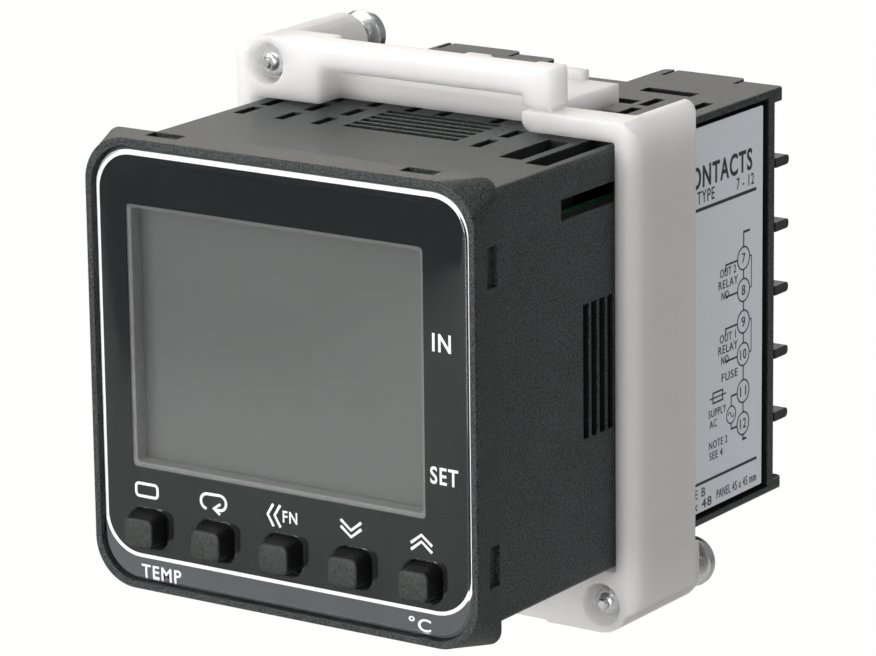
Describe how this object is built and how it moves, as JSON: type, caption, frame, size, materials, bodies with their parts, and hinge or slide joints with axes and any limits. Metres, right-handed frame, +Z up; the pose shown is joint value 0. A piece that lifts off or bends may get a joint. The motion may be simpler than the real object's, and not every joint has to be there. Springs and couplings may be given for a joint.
{
  "type": "panel-mount temperature controller",
  "caption": "Square panel-mount digital temperature controller with display window, front keys, rear screw terminals and a slide-on clamping adapter.",
  "frame": {"origin": "on the case axis, in the plane of the bezel's back face, where it seats on the panel", "axes": "+Y runs back from the panel along the case to the terminals, the display faces -Y, +Z is up, +X is to the right of someone who looks at the display"},
  "size_m": [0.0504, 0.0659, 0.0592],
  "materials": {
    "housing_plastic": "fine spark texture",
    "smoke_lens": "polished",
    "window_grey": "satin",
    "lcd_grey": "smooth",
    "light_guide": "clear to milky",
    "key_rubber": "matte",
    "circuit_board": "solder mask",
    "switch_body": "satin",
    "chip_black": "moulded epoxy",
    "relay_blue": "smooth",
    "coil_yellow": "tape and varnish",
    "can_black": "shrink sleeve",
    "terminal_black": "glass-filled",
    "plated_brass": "tin plated",
    "zinc_steel": "bright zinc",
    "label_grey": "satin film",
    "milk_plastic": "natural nylon, slightly translucent"
  },
  "bodies": {
    "controller": {"bezel": "housing_plastic", "front_lens": "smoke_lens", "window_frame": "window_grey", "lcd_panel": "lcd_grey", "backlight_block": "light_guide", "display_board": "circuit_board", "tact_switch_1": "switch_body", "tact_switch_2": "switch_body", "tact_switch_3": "switch_body", "tact_switch_4": "switch_body", "tact_switch_5": "switch_body", "power_board": "circuit_board", "control_board": "circuit_board", "transformer": "coil_yellow", "relay_1": "relay_blue", "relay_2": "relay_blue", "main_capacitor": "can_black", "microcontroller": "chip_black", "board_connector": "chip_black", "tool_port_socket": "chip_black", "case": "housing_plastic", "side_label": "label_grey", "terminal_block": "terminal_black", "contact_plate_1": "plated_brass", "contact_plate_2": "plated_brass", "contact_plate_3": "plated_brass", "contact_plate_4": "plated_brass", "contact_plate_5": "plated_brass", "contact_plate_6": "plated_brass", "contact_plate_7": "plated_brass", "contact_plate_8": "plated_brass", "contact_plate_9": "plated_brass", "contact_plate_10": "plated_brass", "contact_plate_11": "plated_brass", "contact_plate_12": "plated_brass"},
    "level_key_body": {"level_key": "key_rubber"},
    "mode_key_body": {"mode_key": "key_rubber"},
    "shift_key_body": {"shift_key": "key_rubber"},
    "down_key_body": {"down_key": "key_rubber"},
    "up_key_body": {"up_key": "key_rubber"},
    "terminal_screw_1_body": {"terminal_screw_1": "zinc_steel"},
    "terminal_screw_2_body": {"terminal_screw_2": "zinc_steel"},
    "terminal_screw_3_body": {"terminal_screw_3": "zinc_steel"},
    "terminal_screw_4_body": {"terminal_screw_4": "zinc_steel"},
    "terminal_screw_5_body": {"terminal_screw_5": "zinc_steel"},
    "terminal_screw_6_body": {"terminal_screw_6": "zinc_steel"},
    "terminal_screw_7_body": {"terminal_screw_7": "zinc_steel"},
    "terminal_screw_8_body": {"terminal_screw_8": "zinc_steel"},
    "terminal_screw_9_body": {"terminal_screw_9": "zinc_steel"},
    "terminal_screw_10_body": {"terminal_screw_10": "zinc_steel"},
    "terminal_screw_11_body": {"terminal_screw_11": "zinc_steel"},
    "terminal_screw_12_body": {"terminal_screw_12": "zinc_steel"},
    "adapter_body": {"adapter": "milk_plastic"},
    "clamp_upper_body": {"clamp_screw_upper": "zinc_steel"},
    "clamp_lower_body": {"clamp_screw_lower": "zinc_steel"}
  },
  "joints": [
    {"name": "level_key_press", "type": "slide", "parent": "controller", "child": "level_key_body", "axis": [0, 1, 0], "range_m": [0, 0.0008], "stiffness_N_per_m": 1500},
    {"name": "mode_key_press", "type": "slide", "parent": "controller", "child": "mode_key_body", "axis": [0, 1, 0], "range_m": [0, 0.0008], "stiffness_N_per_m": 1500},
    {"name": "shift_key_press", "type": "slide", "parent": "controller", "child": "shift_key_body", "axis": [0, 1, 0], "range_m": [0, 0.0008], "stiffness_N_per_m": 1500},
    {"name": "down_key_press", "type": "slide", "parent": "controller", "child": "down_key_body", "axis": [0, 1, 0], "range_m": [0, 0.0008], "stiffness_N_per_m": 1500},
    {"name": "up_key_press", "type": "slide", "parent": "controller", "child": "up_key_body", "axis": [0, 1, 0], "range_m": [0, 0.0008], "stiffness_N_per_m": 1500},
    {"name": "terminal_screw_1_back_out", "type": "slide", "parent": "controller", "child": "terminal_screw_1_body", "axis": [0, 1, 0], "range_m": [0, 0.003]},
    {"name": "terminal_screw_2_back_out", "type": "slide", "parent": "controller", "child": "terminal_screw_2_body", "axis": [0, 1, 0], "range_m": [0, 0.003]},
    {"name": "terminal_screw_3_back_out", "type": "slide", "parent": "controller", "child": "terminal_screw_3_body", "axis": [0, 1, 0], "range_m": [0, 0.003]},
    {"name": "terminal_screw_4_back_out", "type": "slide", "parent": "controller", "child": "terminal_screw_4_body", "axis": [0, 1, 0], "range_m": [0, 0.003]},
    {"name": "terminal_screw_5_back_out", "type": "slide", "parent": "controller", "child": "terminal_screw_5_body", "axis": [0, 1, 0], "range_m": [0, 0.003]},
    {"name": "terminal_screw_6_back_out", "type": "slide", "parent": "controller", "child": "terminal_screw_6_body", "axis": [0, 1, 0], "range_m": [0, 0.003]},
    {"name": "terminal_screw_7_back_out", "type": "slide", "parent": "controller", "child": "terminal_screw_7_body", "axis": [0, 1, 0], "range_m": [0, 0.003]},
    {"name": "terminal_screw_8_back_out", "type": "slide", "parent": "controller", "child": "terminal_screw_8_body", "axis": [0, 1, 0], "range_m": [0, 0.003]},
    {"name": "terminal_screw_9_back_out", "type": "slide", "parent": "controller", "child": "terminal_screw_9_body", "axis": [0, 1, 0], "range_m": [0, 0.003]},
    {"name": "terminal_screw_10_back_out", "type": "slide", "parent": "controller", "child": "terminal_screw_10_body", "axis": [0, 1, 0], "range_m": [0, 0.003]},
    {"name": "terminal_screw_11_back_out", "type": "slide", "parent": "controller", "child": "terminal_screw_11_body", "axis": [0, 1, 0], "range_m": [0, 0.003]},
    {"name": "terminal_screw_12_back_out", "type": "slide", "parent": "controller", "child": "terminal_screw_12_body", "axis": [0, 1, 0], "range_m": [0, 0.003]},
    {"name": "adapter_slide", "type": "slide", "parent": "controller", "child": "adapter_body", "axis": [0, 1, 0], "range_m": [-0.0224, 0.038]},
    {"name": "clamp_screw_upper_travel", "type": "slide", "parent": "adapter_body", "child": "clamp_upper_body", "axis": [0, 1, 0], "range_m": [-0.0025, 0.008]},
    {"name": "clamp_screw_lower_travel", "type": "slide", "parent": "adapter_body", "child": "clamp_lower_body", "axis": [0, 1, 0], "range_m": [-0.0025, 0.008]}
  ]
}
